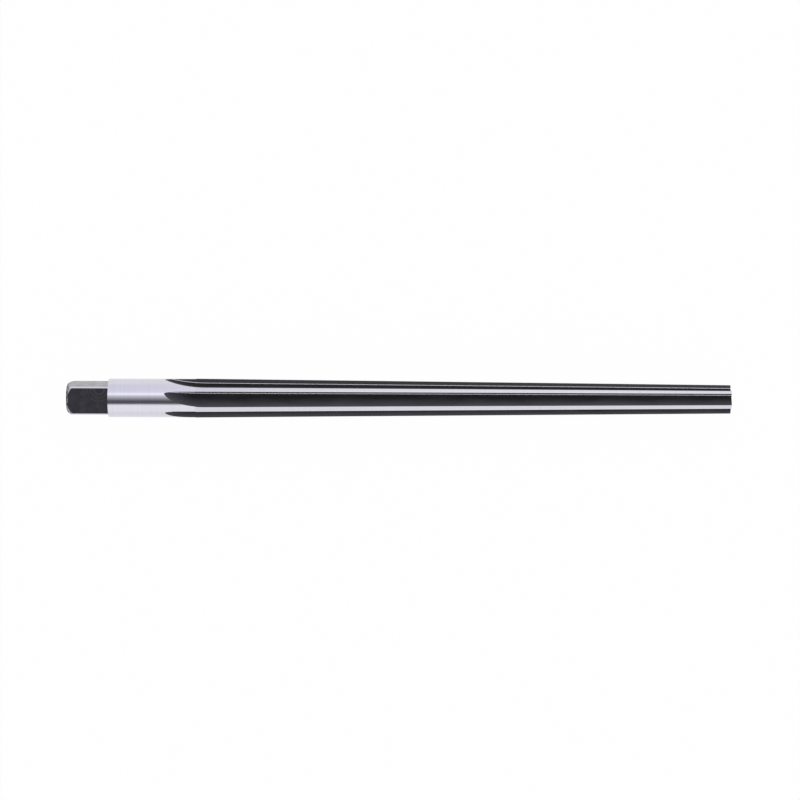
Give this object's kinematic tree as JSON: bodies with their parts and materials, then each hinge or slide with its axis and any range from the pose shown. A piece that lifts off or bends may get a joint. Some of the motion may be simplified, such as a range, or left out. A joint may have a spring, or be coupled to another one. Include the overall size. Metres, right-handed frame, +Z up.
{
  "type": "hand reamer",
  "caption": "Straight-fluted taper pin hand reamer in one piece of tool steel: driving square, plain ground shank and long tapered cutting lands.",
  "frame": {"origin": "on the surface that the tool lies on, under the middle of its length", "axes": "+X from the driving square to the tip, +Z up; the tool's own axis slopes 0.63 degrees down towards the tip"},
  "size_m": [0.18, 0.0106, 0.0107],
  "materials": {
    "tool_steel": "ground bright on the shank and the lands, black heat-treatment oxide in the flutes and on the driving square"
  },
  "bodies": {
    "root": {"reamer": "tool_steel"}
  },
  "joints": []
}
